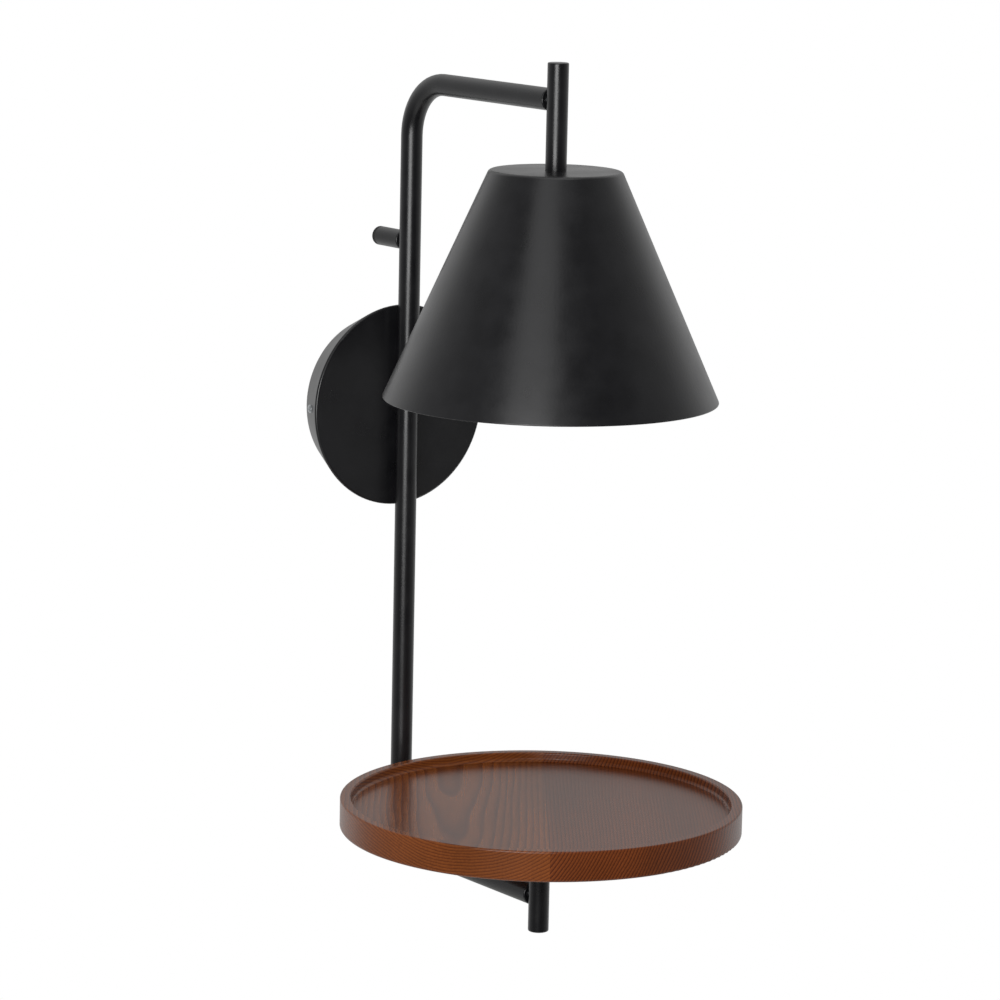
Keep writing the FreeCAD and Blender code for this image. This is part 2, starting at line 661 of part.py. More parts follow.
def lamp_stem():
    stem = short_tube(SHADE_TOP_Z, STEM_TOP_Z, TOP_ARM_Z)
    stem = round_edges(stem, END_ROUND, is_ring_at("z", STEM_TOP_Z, STEM_D))
    foot = Vector(0, STEM_Y, SHADE_TOP_Z)
    return stem.cut(rod(ENTRY_THREAD_D, foot - Z_AXIS, foot + Z_AXIS * THREAD_IN_STEM))


def stem_cap():
    """Plug that closes the top of the stem, flush with its end."""
    top = Vector(0, STEM_Y, STEM_TOP_Z)
    return rod(STEM_BORE, top, top - Z_AXIS * PLUG_L)


def tray_stub():
    stub = short_tube(STUB_FOOT_Z, PLATE_Z, LOW_ARM_Z)
    return round_edges(stub, END_ROUND, is_ring_at("z", STUB_FOOT_Z, STEM_D))


def stub_cap():
    """Plug that closes the foot of the stub, flush with its end."""
    foot = Vector(0, STEM_Y, STUB_FOOT_Z)
    return rod(STEM_BORE, foot, foot + Z_AXIS * PLUG_L)


# ---------------------------------------------------------------- shade
def shade():
    """Spun steel cone with a flat top, a rounded shoulder and a folded hem."""
    top_r = SHADE_TOP_D / 2
    rim_r = SHADE_RIM_D / 2
    slope = (rim_r - top_r) / SHADE_H
    slant_wall = SHADE_WALL * math.hypot(1, slope)
    rim = Vector(0, STEM_Y, SHADE_RIM_Z)
    body = Part.makeCone(rim_r, top_r, SHADE_H, rim)
    outer_round = SHADE_INNER_ROUND + SHADE_WALL
    body = round_edges(body, outer_round, is_ring_at("z", SHADE_TOP_Z, SHADE_TOP_D))
    ceiling_r = top_r + slope * SHADE_WALL - slant_wall
    hem_r = rim_r - slope * HEM_H
    cavity = turned([
        (0, -1), (rim_r + slope - 2 * slant_wall, -1), (hem_r - 2 * slant_wall, HEM_H),
        (hem_r - slant_wall, HEM_H), (ceiling_r, SHADE_H - SHADE_WALL),
        (0, SHADE_H - SHADE_WALL)], rim, Z_AXIS)
    cavity = round_edges(cavity, SHADE_INNER_ROUND,
                         is_ring_at("z", SHADE_TOP_Z - SHADE_WALL, 2 * ceiling_r))
    top = Vector(0, STEM_Y, SHADE_TOP_Z)
    hole = rod(ENTRY_THREAD_D + CLEARANCE, top + Z_AXIS, top - Z_AXIS * 5)
    return body.cut(cavity).cut(hole)


def shade_nipple():
    """Hollow threaded stud from the stem, through the shade, into the lampholder."""
    top = Vector(0, STEM_Y, SHADE_TOP_Z + THREAD_IN_STEM)
    return tube(ENTRY_THREAD_D, ENTRY_BORE, top, Vector(0, STEM_Y, NIPPLE_FOOT_Z))


def holder_washer():
    top = Vector(0, STEM_Y, SHADE_TOP_Z - SHADE_WALL)
    return tube(HOLDER_WASHER_D, ENTRY_THREAD_D + CLEARANCE, top, top - Z_AXIS * HOLDER_WASHER_T)


# ---------------------------------------------------------------- lampholder
def dome_profile(neck_r, body_r, neck_h, full_h):
    """Outline that swells from a neck to a body by a quarter ellipse."""
    steps = 4
    outline = [(0, full_h), (neck_r, full_h), (neck_r, full_h - neck_h)]
    for step in range(1, steps + 1):
        angle = math.pi / 2 * step / steps
        swell = (body_r - neck_r) * math.sin(angle)
        drop = HOLDER_DOME_H * (1 - math.cos(angle))
        outline.append((neck_r + swell, full_h - neck_h - drop))
    return outline + [(body_r, 0), (0, 0)]


def holder_cap():
    """Upper half of the lampholder, screwed on the nipple."""
    seam = Vector(0, STEM_Y, HOLDER_SEAM_Z)
    neck_r = ENTRY_THREAD_D / 2 + HOLDER_NECK_WALL
    body = turned(dome_profile(neck_r, HOLDER_D / 2, HOLDER_NECK_H, HOLDER_CAP_H), seam, Z_AXIS)
    room_r = HOLDER_D / 2 - HOLDER_WALL
    room_h = HOLDER_CAP_H - THREAD_IN_HOLDER
    room = turned(dome_profile(neck_r - HOLDER_WALL, room_r, HOLDER_WALL, room_h), seam, Z_AXIS)
    thread = rod(ENTRY_THREAD_D, seam, seam + Z_AXIS * HOLDER_CAP_H)
    return body.cut(room).cut(thread)


def holder_barrel():
    """Lower half of the lampholder, round the threaded sleeve."""
    seam = Vector(0, STEM_Y, HOLDER_SEAM_Z)
    bore_r = CORE_D / 2
    thread_r = HOLDER_D / 2 - HOLDER_WALL
    band_r = HOLDER_D / 2
    foot_r = bore_r + HOLDER_FOOT_WALL
    foot_z = -HOLDER_BARREL_H
    profile = [
        (bore_r, HOLDER_THREAD_H), (thread_r, HOLDER_THREAD_H), (thread_r, 0),
        (band_r, 0), (band_r, -HOLDER_BAND_H), (band_r - 1, -HOLDER_BAND_H - 1),
        (foot_r, foot_z + 1), (foot_r - 1, foot_z), (bore_r, foot_z)]
    return turned(profile, seam, Z_AXIS)


def holder_core():
    """Ceramic disc that carries the contacts."""
    foot = Vector(0, STEM_Y, SCREW_SHELL_TOP_Z)
    core = rod(CORE_D, foot, foot + Z_AXIS * CORE_H)
    for side in (-1, 1):
        seat = Vector(side * POST_X, STEM_Y, CORE_TOP_Z)
        core = core.cut(rod(POST_D, seat, seat - Z_AXIS * POST_SUNK))
    return core.cut(rod(RIVET_D, foot, foot + Z_AXIS * RIVET_L))


def holder_posts():
    """Two brass posts that clamp the wires on top of the core."""
    posts = []
    for side in (-1, 1):
        seat = Vector(side * POST_X, STEM_Y, CORE_TOP_Z)
        posts.append(rod(POST_D, seat - Z_AXIS * POST_SUNK, seat + Z_AXIS * POST_H))
    return Part.makeCompound(posts)


def screw_shell():
    """Brass sleeve whose thread the bulb turns in."""
    top = Vector(0, STEM_Y, SCREW_SHELL_TOP_Z)
    return tube(CORE_D, SCREW_SHELL_D, top, top - Z_AXIS * SCREW_SHELL_H)


def centre_contact():
    """Contact blade over the bulb's tip, riveted in the core."""
    foot = Vector(0, STEM_Y, SCREW_SHELL_TOP_Z)
    corner = foot - Vector(BLADE_L / 2, BLADE_W / 2, BLADE_DROP)
    blade = Part.makeBox(BLADE_L, BLADE_W, BLADE_T, corner)
    rivet = rod(RIVET_D, foot - Z_AXIS * BLADE_DROP, foot + Z_AXIS * RIVET_L)
    return blade.fuse(rivet).removeSplitter()


# ---------------------------------------------------------------- bulb
def bulb_cap():
    """Screw cap of the bulb."""
    foot = Vector(0, STEM_Y, BULB_CAP_FOOT_Z)
    top = Vector(0, STEM_Y, BULB_CAP_TOP_Z)
    return tube(BULB_CAP_D, BULB_CAP_D - 2 * BULB_CAP_WALL, foot, top)


def bulb_insulator():
    """Glass cone between the cap and its tip."""
    base = Vector(0, STEM_Y, BULB_CAP_TOP_Z)
    top_r = BULB_TIP_D / 2 + BULB_CONE_LIP
    return Part.makeCone(BULB_CAP_D / 2, top_r, BULB_CONE_H, base)


def bulb_tip():
    """Contact on the bulb's end."""
    base = Vector(0, STEM_Y, BULB_CONE_Z)
    tip = rod(BULB_TIP_D, base, base + Z_AXIS * BULB_TIP_H)
    return round_edges(tip, BULB_TIP_H / 2, is_ring_at("z", BULB_TIP_Z, BULB_TIP_D))


def bulb_form(shrink):
    """Globe with a neck that runs up into the cap."""
    radius = BULB_GLASS_D / 2 - shrink
    neck_r = BULB_NECK_D / 2 - shrink
    centre_z = BULB_CAP_FOOT_Z - BULB_GLASS_H + BULB_GLASS_D / 2
    centre = Vector(0, STEM_Y, centre_z)
    neck_top_z = BULB_CAP_FOOT_Z + BULB_NECK_IN_CAP - shrink
    neck = rod(2 * neck_r, centre, Vector(0, STEM_Y, neck_top_z))
    form = Part.makeSphere(radius, centre).fuse(neck).removeSplitter()
    join_z = centre_z + math.sqrt(radius ** 2 - neck_r ** 2)
    return round_edges(form, BULB_NECK_ROUND, is_ring_at("z", join_z, 2 * neck_r))


def bulb_glass():
    """Hollow glass globe."""
    return bulb_form(0).cut(bulb_form(BULB_GLASS_WALL))


# ---------------------------------------------------------------- tray
def screw_places():
    """Points on the screw circle of the tray plate."""
    places = []
    for step in range(PLATE_SCREWS):
        angle = 2 * math.pi * (step + 0.5) / PLATE_SCREWS
        places.append((PLATE_PCD / 2 * math.cos(angle), STEM_Y + PLATE_PCD / 2 * math.sin(angle)))
    return places


def tray():
    """Turned wooden disc with a shallow well inside a flat rim."""
    foot = Vector(0, STEM_Y, TRAY_Z)
    disc = Part.makeCylinder(TRAY_D / 2, TRAY_T, foot)
    disc = round_edges(disc, TRAY_EDGE_TOP, is_ring_at("z", TRAY_Z + TRAY_T, TRAY_D))
    disc = round_edges(disc, TRAY_EDGE_BOTTOM, is_ring_at("z", TRAY_Z, TRAY_D))
    well_d = TRAY_D - 2 * TRAY_RIM_W
    well = Part.makeCylinder(well_d / 2, TRAY_WELL + 1, Vector(0, STEM_Y, TRAY_FLOOR_Z))
    well = round_edges(well, TRAY_COVE, is_ring_at("z", TRAY_FLOOR_Z, well_d))
    body = disc.cut(well)
    body = round_edges(body, TRAY_EDGE_TOP, is_ring_at("z", TRAY_Z + TRAY_T, well_d))
    for x, y in screw_places():
        pilot = Vector(x, y, TRAY_Z)
        body = body.cut(rod(WOOD_SCREW_D, pilot, pilot + Z_AXIS * WOOD_SCREW_L))
    return body


def tray_plate():
    """Steel disc on top of the stub that the tray is screwed to."""
    foot = Vector(0, STEM_Y, PLATE_Z)
    plate = Part.makeCylinder(PLATE_D / 2, PLATE_T, foot)
    plate = round_edges(plate, PLATE_ROUND, is_ring_at("z", PLATE_Z, PLATE_D))
    for x, y in screw_places():
        hole = Vector(x, y, PLATE_Z)
        plate = plate.cut(rod(WOOD_SCREW_D + CLEARANCE, hole, hole + Z_AXIS * PLATE_T))
    return plate


def tray_screws():
    """Screws through the plate into the tray."""
    screws = []
    for x, y in screw_places():
        seat = Vector(x, y, PLATE_Z)
        length = PLATE_T + WOOD_SCREW_L
        screws.append(slotted_pan_screw(WOOD_SCREW_D, length, WOOD_HEAD_D, WOOD_HEAD_H, seat, Z_AXIS))
    return Part.makeCompound(screws)


# ---------------------------------------------------------------- all pieces
def build():
    """Every piece of the lamp under the name of its node."""
    return {
        "wall_bracket": wall_bracket(),
        "canopy_cover": canopy_cover(),
        "side_screws": side_screws(),
        "canopy_nipple": canopy_nipple(),
        "canopy_nut": canopy_nut(),
        "spread_washer": spread_washer(),
        "saddle_spacer": saddle_spacer(),
        "terminal_block": terminal_block(),
        "terminal_barrels": terminal_barrels(),
        "terminal_screws": terminal_screws(),
        "block_screw": block_screw(),
        "earth_tag": earth_tag(),
        "earth_screw": earth_screw(),
        "earth_wire": earth_wire(),
        "live_wire": lamp_wire(-1, -POLE_PITCH),
        "neutral_wire": lamp_wire(1, 0.0),
        "upright_tube": upright_tube(),
        "top_end_plug": end_plug(TOP_ARM_Z),
        "low_end_plug": end_plug(LOW_ARM_Z),
        "top_joint_stud": joint_stud(TOP_ARM_Z, STUD_BORE),
        "low_joint_stud": joint_stud(LOW_ARM_Z, 0),
        "wall_peg": wall_peg(),
        "peg_stud": peg_stud(),
        "wall_bumper": wall_bumper(),
        "lamp_stem": lamp_stem(),
        "stem_cap": stem_cap(),
        "shade": shade(),
        "shade_nipple": shade_nipple(),
        "holder_washer": holder_washer(),
        "holder_cap": holder_cap(),
        "holder_barrel": holder_barrel(),
        "holder_core": holder_core(),
        "holder_posts": holder_posts(),
        "screw_shell": screw_shell(),
        "centre_contact": centre_contact(),
        "bulb_cap": bulb_cap(),
        "bulb_insulator": bulb_insulator(),
        "bulb_tip": bulb_tip(),
        "bulb_glass": bulb_glass(),
        "tray_stub": tray_stub(),
        "stub_cap": stub_cap(),
        "tray_plate": tray_plate(),
        "tray_screws": tray_screws(),
        "tray": tray(),
    }


os.makedirs("parts", exist_ok=True)
for node, shape in build().items():
    shape.exportStep("parts/" + node + ".step")
    box = shape.BoundBox
    print(node, "solids", len(shape.Solids), "valid", shape.isValid(),
          "volume", round(shape.Volume, 1),
          "z", round(box.ZMin, 1), round(box.ZMax, 1))
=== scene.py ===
# %% [markdown]
# # A wall lamp with a round tray
#
# This lesson dresses a lamp that is already built to size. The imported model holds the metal, the
# wiring and the wood as plain solids, in metres, with the wall as the plane y = 0 and the room on
# the -Y side. Here each of them gets the finish of the real piece, and a few pieces that need finer
# shapes, such as the spun shade and the threads, are modelled again in their own places.

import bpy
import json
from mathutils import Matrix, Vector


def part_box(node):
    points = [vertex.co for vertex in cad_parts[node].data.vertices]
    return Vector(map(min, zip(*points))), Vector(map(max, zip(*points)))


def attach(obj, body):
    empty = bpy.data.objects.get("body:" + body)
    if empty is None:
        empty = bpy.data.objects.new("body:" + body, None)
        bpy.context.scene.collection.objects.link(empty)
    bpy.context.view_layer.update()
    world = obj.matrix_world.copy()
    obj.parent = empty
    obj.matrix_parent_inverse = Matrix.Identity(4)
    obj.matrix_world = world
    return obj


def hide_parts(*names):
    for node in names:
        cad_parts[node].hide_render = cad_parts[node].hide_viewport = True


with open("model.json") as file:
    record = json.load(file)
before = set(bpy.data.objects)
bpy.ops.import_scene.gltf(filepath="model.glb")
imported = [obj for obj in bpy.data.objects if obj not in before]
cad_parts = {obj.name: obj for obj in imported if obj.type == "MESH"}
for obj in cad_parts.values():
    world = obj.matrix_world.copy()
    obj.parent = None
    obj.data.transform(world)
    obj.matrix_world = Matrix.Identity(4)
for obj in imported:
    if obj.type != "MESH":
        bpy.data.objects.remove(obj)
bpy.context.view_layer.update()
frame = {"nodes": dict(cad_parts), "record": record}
nodes = frame["nodes"]

# %% [markdown]
# ## Libraries
#
# Shapes and finishes are made with the program's own library. Two small ones come too: one helps
# with angles, the other reads JSON.

# %% Libraries
import json
import math

import bmesh
import bpy
from mathutils import Matrix, Vector

# %% [markdown]
# ## The camera
#
# A picture of a product is taken from far away with a long lens, so that upright tubes stay nearly
# parallel. The camera stands to the left of the lamp and a little above its middle. A camera could
# be aimed with a Track To constraint, but a slight roll is easier to keep when the three axes of
# the camera are written out: its right, its up, and the line back towards the photographer.

# %% Camera
AXIS_Y = -0.17335          # the stem, the shade and the tray share this upright axis
CAMERA_TURN = math.radians(-36.252)
CAMERA_RISE = math.radians(10.423)
CAMERA_ROLL = math.radians(1.214)
CAMERA_AIM = Vector((0.027276, -0.090, -0.049597))
CAMERA_FAR = 2.40466
SENSOR_MM = 36.0
LENS_MM = 147.437


def line_to_camera(turn, rise):
    """The direction from the lamp to a stand that is turned and raised by these angles."""
    level = math.cos(rise)
    return Vector((math.sin(turn) * level, -math.cos(turn) * level, math.sin(rise)))


back = line_to_camera(CAMERA_TURN, CAMERA_RISE)
level_right = Vector((math.cos(CAMERA_TURN), math.sin(CAMERA_TURN), 0))
level_up = back.cross(level_right)
right = level_right * math.cos(CAMERA_ROLL) + level_up * math.sin(CAMERA_ROLL)
up = level_up * math.cos(CAMERA_ROLL) - level_right * math.sin(CAMERA_ROLL)

camera_data = bpy.data.cameras.new("studio_camera")
camera_data.sensor_width = SENSOR_MM
camera_data.lens = LENS_MM
camera = bpy.data.objects.new("studio_camera", camera_data)
bpy.context.scene.collection.objects.link(camera)
stand = Matrix((right, up, back)).transposed().to_4x4()
stand.translation = CAMERA_AIM + back * CAMERA_FAR
camera.matrix_world = stand
bpy.context.scene.camera = camera
print("camera at", [round(v, 3) for v in stand.translation])

# %% [markdown]
# ## Colours and nodes
#
# Colours are written as the sRGB hex values that a paint chart gives. A shader counts in linear
# light, so one function turns them over. Another small function adds a node, sets it and links it.
# Four short ones call it for the steps that nearly every finish takes: noise, a ramp of colours, a
# range of gloss, and bump.

# %% Colours and nodes
def colour(code):
    """An sRGB hex colour as linear red, green, blue and alpha."""
    parts = [int(code[i:i + 2], 16) / 255 for i in (1, 3, 5)]
    linear = [p / 12.92 if p <= 0.04045 else ((p + 0.055) / 1.055) ** 2.4 for p in parts]
    return (*linear, 1.0)


def add_node(tree, kind, settings=None, inputs=None, stops=None):
    """Adds a node. An input takes a value, or a pair of a node and the name of its output."""
    node = tree.nodes.new(kind)
    for name, value in (settings or {}).items():
        setattr(node, name, value)
    for name, value in (inputs or {}).items():
        if isinstance(value, tuple) and isinstance(value[0], bpy.types.Node):
            tree.links.new(value[0].outputs[value[1]], node.inputs[name])
        else:
            node.inputs[name].default_value = value
    for i, (place, code) in enumerate(stops or []):
        if i > 1:
            node.color_ramp.elements.new(place)
        node.color_ramp.elements[i].position = place
        node.color_ramp.elements[i].color = colour(code)
    return node


def new_material(name):
    """An empty material, its tree, and the object coordinates that its patterns read."""
    material = bpy.data.materials.new(name)
    material.use_nodes = True
    tree = material.node_tree
    tree.nodes.clear()
    return material, tree, (add_node(tree, "ShaderNodeTexCoord"), "Object")


def noise(tree, place, scale, detail=2.0):
    """Cloudy noise, with the scale in clouds a metre. Its output is Fac or Color."""
    return add_node(tree, "ShaderNodeTexNoise",
                    inputs={"Vector": place, "Scale": scale, "Detail": detail})


def ramp(tree, amount, stops):
    """A colour for each amount, from stops that are a place and a hex colour."""
    return add_node(tree, "ShaderNodeValToRGB", inputs={"Fac": amount}, stops=stops)


def spread(tree, amount, start, end, low, high):
    """Turns the amounts from start to end into values from low to high."""
    return add_node(tree, "ShaderNodeMapRange",
                    inputs={"Value": amount, "From Min": start, "From Max": end,
                            "To Min": low, "To Max": high})


def bumps(tree, height, strength, depth_mm):
    """Bump for a surface, from a height."""
    bump = add_node(tree, "ShaderNodeBump",
                    inputs={"Height": height, "Strength": strength, "Distance": depth_mm / 1000})
    return bump, "Normal"


def sums(tree, operation, *values):
    """A Math node. Each value is a number or a pair of a node and its output."""
    node = add_node(tree, "ShaderNodeMath", {"operation": operation}, dict(enumerate(values)))
    return node, 0


def show(tree, shader):
    """Sends a shader to the material's output."""
    add_node(tree, "ShaderNodeOutputMaterial", inputs={"Surface": (shader, "BSDF")})


COAT_LOW, COAT_HIGH = "#111113", "#161618"
print("black coat in linear light:", [round(v, 4) for v in colour(COAT_LOW)])

# %% [markdown]
# ## The studio
#
# The lamp is photographed on white. The world is white to the camera and to what is seen through
# glass. Gloss needs more care: black metal shows its surroundings, so the studio is white behind
# the lamp, where the paper hangs, and dark in the room in front of it, where the photographer
# stands. This is what gives each tube a dark band on both sides of its highlight and a pale line
# along its edges. Matt surfaces only feel the mean of it all. One picture of a real studio could
# light it too, but a ramp of greys is easier to read and to adjust.

# %% World
DARK_SIDE = line_to_camera(math.radians(-36), 0)
SOFT_GREY = "#b4b4b4"      # what matt surfaces get of the whole surround


def build_world():
    """A white surround with a dark side that only gloss can see."""
    world = bpy.data.worlds.new("white_studio")
    world.use_nodes = True
    tree = world.node_tree
    tree.nodes.clear()
    place = add_node(tree, "ShaderNodeTexCoord")
    towards = add_node(tree, "ShaderNodeVectorMath", {"operation": "DOT_PRODUCT"},
                       {0: (place, "Generated"), 1: tuple(DARK_SIDE)})
    level = sums(tree, "MULTIPLY_ADD", (towards, "Value"), 0.5, 0.5)
    gloss = ramp(tree, level, [(0.0, "#c4c4c4"), (0.16, "#f0f0f0"), (0.40, "#b2b2b2"),
                               (0.62, "#929292"), (0.78, "#585858"), (0.92, "#343434")])
    path = add_node(tree, "ShaderNodeLightPath")
    seen = sums(tree, "MAXIMUM", (path, "Is Camera Ray"), (path, "Is Transmission Ray"))
    soft = add_node(tree, "ShaderNodeMix", {"data_type": "RGBA"},
                    {"Factor": (path, "Is Glossy Ray"), 6: colour(SOFT_GREY), 7: (gloss, "Color")})
    final = add_node(tree, "ShaderNodeMix", {"data_type": "RGBA"},
                     {"Factor": seen, 6: (soft, 2), 7: colour("#ffffff")})
    shell = add_node(tree, "ShaderNodeBackground", inputs={"Color": (final, 2), "Strength": 1.0})
    add_node(tree, "ShaderNodeOutputWorld", inputs={"Surface": (shell, "Background")})
    bpy.context.scene.world = world


build_world()
bpy.context.scene.view_settings.view_transform = "Standard"

# %% [markdown]
# ## The lights
#
# Soft boxes light the lamp. The bright one stands a metre away, to the left of the camera, and
# draws the line down each tube, which fades towards the lower end, below the box. A dim one stands
# on top of it, because the slope of the shade looks up there. The one above lights the tray.

# %% Lights
LIGHT_AIM = Vector((0, -0.12, -0.03))


def soft_box(name, turn, rise, far, width, height, watts):
    """A rectangular lamp that faces the middle of the wall lamp."""
    data = bpy.data.lights.new(name, "AREA")
    data.shape = "RECTANGLE"
    data.size = width
    data.size_y = height
    data.energy = watts
    box = bpy.data.objects.new(name, data)
    bpy.context.scene.collection.objects.link(box)
    way = line_to_camera(math.radians(turn), math.radians(rise))
    box.location = LIGHT_AIM + way * far
    box.rotation_euler = (-way).to_track_quat("-Z", "Y").to_euler()
    box.visible_camera = False


soft_box("strip_beside_camera", turn=-49, rise=4, far=1.15, width=0.62, height=0.64, watts=9)
soft_box("top_of_strip", turn=-49, rise=38, far=1.15, width=0.60, height=0.60, watts=1.3)
soft_box("above", turn=-30, rise=75, far=2.4, width=1.8, height=1.8, watts=11)

# %% [markdown]
# ## The floor
#
# The lamp hangs on a wall, so the floor lies well below it and stays out of the picture. It still
# catches the shadow in views from above. It could be a roll of paper with a swept-up end, but the
# world is white already, so a flat pale board is enough.

# %% Floor
FLOOR_Z = -1.0
FLOOR_SIZE = 2.4


def build_floor():
    """A pale sheet below the lamp."""
    bpy.ops.object.select_all(action="DESELECT")
    bpy.ops.mesh.primitive_grid_add(x_subdivisions=8, y_subdivisions=8, size=FLOOR_SIZE,
                                    location=(0, -0.12, FLOOR_Z))
    floor = bpy.context.object
    floor.name = "studio_floor"
    bpy.ops.object.transform_apply(location=True, rotation=True, scale=True)
    material, tree, place = new_material("pale_matt_board")
    mottle = noise(tree, place, 6.0)
    tint = ramp(tree, (mottle, "Fac"), [(0.3, "#e9e9e7"), (0.7, "#efefed")])
    board = add_node(tree, "ShaderNodeBsdfPrincipled",
                     inputs={"Base Color": (tint, "Color"), "Roughness": 0.8})
    show(tree, board)
    floor.data.materials.append(material)


build_floor()

# %% [markdown]
# ## Black powder coat
#
# The tubes, the canopy and the shade are steel with a baked powder coat. The powder melts into a
# skin a tenth of a millimetre thick that never flows quite flat: it keeps a faint orange peel, with
# waves about 1.5 mm long. That blurs highlights a little more in some places than in others.

# %% Powder coat
PEEL_MM = 1.5
PEEL_DEPTH_MM = 0.04


def powder_coat(name, dark, light, rough_low, rough_high):
    """A baked powder skin: two close colours, uneven gloss and orange peel."""
    material, tree, place = new_material(name)
    cloud = noise(tree, place, 60.0, 3.0)
    tint = ramp(tree, (cloud, "Fac"), [(0.35, dark), (0.65, light)])
    gloss = spread(tree, (cloud, "Fac"), 0.3, 0.7, rough_low, rough_high)
    peel = noise(tree, place, 1000 / PEEL_MM, 1.0)
    coat = add_node(tree, "ShaderNodeBsdfPrincipled",
                    inputs={"Base Color": (tint, "Color"), "Roughness": (gloss, "Result"),
                            "IOR": 1.5, "Normal": bumps(tree, (peel, "Fac"), 0.6, PEEL_DEPTH_MM)})
    show(tree, coat)
    return material


black_coat = powder_coat("black_powder_coat", COAT_LOW, COAT_HIGH, 0.27, 0.33)
white_coat = powder_coat("white_powder_coat", "#ecebe6", "#f2f1ec", 0.38, 0.46)
print("coats:", black_coat.name, white_coat.name)

# %% [markdown]
# ## Wood
#
# The tray is turned from two boards that were glued side by side, stained reddish brown and
# lacquered. Wood is a stack of cones round the pith of the tree: a board cut from it shows the
# growth rings as slanted lines where its end grain is cut, and as long arches on its face. So the
# pattern is not drawn on the surface. It is the distance from a pith line that lies outside the
# board, in three dimensions, and each board has a pith and a shade of brown of its own. The rings
# wave slowly along the grain, because a tree grows far more evenly along its trunk than across it.

# %% Wood
GRAIN_TURN = math.radians(35.6)
SEAM_AT = 0.003            # the glue line, across the grain from the tray's middle
TRAY_MIDDLE_Z = -0.21675
WOBBLE = (0.007, 0.0, 0.007)   # how far the rings wave across the grain, in metres
SLOW_ALONG = (1.0, 0.16, 1.0)
FIBRE_ALONG = (1.0, 0.04, 1.0)
FIBRE_MM = 0.9
FIBRE_DEPTH_MM = 0.06


def ring_distance(tree, grain, slow, pith_across, pith_up, tilt, ring_mm, seed):
    """Rings of one board: counts them from a pith line that is tilted along the grain."""
    wobble = add_node(tree, "ShaderNodeTexNoise", {"noise_dimensions": "4D"},
                      {"Vector": slow, "W": seed, "Scale": 26.0, "Detail": 2.0})
    shifted = add_node(tree, "ShaderNodeVectorMath", {"operation": "MULTIPLY_ADD"},
                       {0: (wobble, "Color"), 1: WOBBLE, 2: grain})
    parts = add_node(tree, "ShaderNodeSeparateXYZ", inputs={0: (shifted, "Vector")})
    lift = sums(tree, "MULTIPLY_ADD", (parts, "Y"), tilt, (parts, "Z"))
    across = sums(tree, "SUBTRACT", (parts, "X"), pith_across)
    height = sums(tree, "SUBTRACT", lift, pith_up)
    flat = add_node(tree, "ShaderNodeCombineXYZ", inputs={"X": across, "Y": height})
    far = add_node(tree, "ShaderNodeVectorMath", {"operation": "LENGTH"}, {0: (flat, "Vector")})
    count = sums(tree, "DIVIDE", (far, "Value"), ring_mm / 1000)
    return sums(tree, "FRACT", count)


def grain_places(tree, place):
    """Coordinates along the grain, and the same ones drawn out for slow waves and for fibres."""
    middle = (-AXIS_Y * math.sin(GRAIN_TURN), AXIS_Y * math.cos(GRAIN_TURN))
    turned = add_node(tree, "ShaderNodeMapping",
                      inputs={"Vector": place, "Rotation": (0, 0, GRAIN_TURN),
                              "Location": (-middle[0], -middle[1], -TRAY_MIDDLE_Z)})
    drawn_out = [add_node(tree, "ShaderNodeMapping",
                          inputs={"Vector": (turned, "Vector"), "Scale": scale})
                 for scale in (SLOW_ALONG, FIBRE_ALONG)]
    return [(node, "Vector") for node in (turned, *drawn_out)]


def stained_wood():
    """Two stained boards under a satin lacquer."""
    material, tree, place = new_material("stained_lacquered_wood")
    grain, slow, along_fibre = grain_places(tree, place)
    left = ring_distance(tree, grain, slow, pith_across=-0.047, pith_up=0.082, tilt=0.013,
                         ring_mm=1.7, seed=3.0)
    right_board = ring_distance(tree, grain, slow, pith_across=-0.075, pith_up=0.062, tilt=0.008,
                                ring_mm=1.8, seed=8.0)
    parts = add_node(tree, "ShaderNodeSeparateXYZ", inputs={0: grain})
    side = sums(tree, "GREATER_THAN", (parts, "X"), SEAM_AT)
    left_tint = ramp(tree, left, [(0.0, "#76401b"), (0.55, "#6a3716"), (0.86, "#522711"),
                                  (1.0, "#663417")])
    right_tint = ramp(tree, right_board, [(0.0, "#6c3717"), (0.55, "#5c2c11"), (0.84, "#371509"),
                                          (1.0, "#5e2e15")])
    tint = add_node(tree, "ShaderNodeMix", {"data_type": "RGBA"},
                    {"Factor": side, 6: (left_tint, "Color"), 7: (right_tint, "Color")})
    fibre = noise(tree, along_fibre, 1000 / FIBRE_MM, 3.0)
    fleck = spread(tree, (fibre, "Fac"), 0.35, 0.65, 0.84, 1.10)
    patch = noise(tree, slow, 30.0, 1.0)
    soak = spread(tree, (patch, "Fac"), 0.3, 0.7, 0.82, 1.12)
    both = sums(tree, "MULTIPLY", (fleck, "Result"), (soak, "Result"))
    stained = add_node(tree, "ShaderNodeVectorMath", {"operation": "SCALE"},
                       {0: (tint, 2), "Scale": both})
    lacquer = add_node(tree, "ShaderNodeBsdfPrincipled",
                       inputs={"Base Color": (stained, "Vector"), "Roughness": 0.26, "IOR": 1.45,
                               "Specular IOR Level": 0.3,
                               "Normal": bumps(tree, (fibre, "Fac"), 0.4, FIBRE_DEPTH_MM)})
    show(tree, lacquer)
    return material


wood = stained_wood()
print("wood:", wood.name)

# %% [markdown]
# ## Bare and plated metals
#
# Screws, nuts and the wall bracket are steel with a thin zinc plating, which is grey with a faint
# cloudiness. Terminals and the threaded sleeve are plain brass, and the bulb's cap is nickel-plated
# brass. A metal has no colour of its own below its gloss, so its base colour is the colour of the
# reflection.

# %% Metals
MARK_MM = 0.4
MARK_DEPTH_MM = 0.01


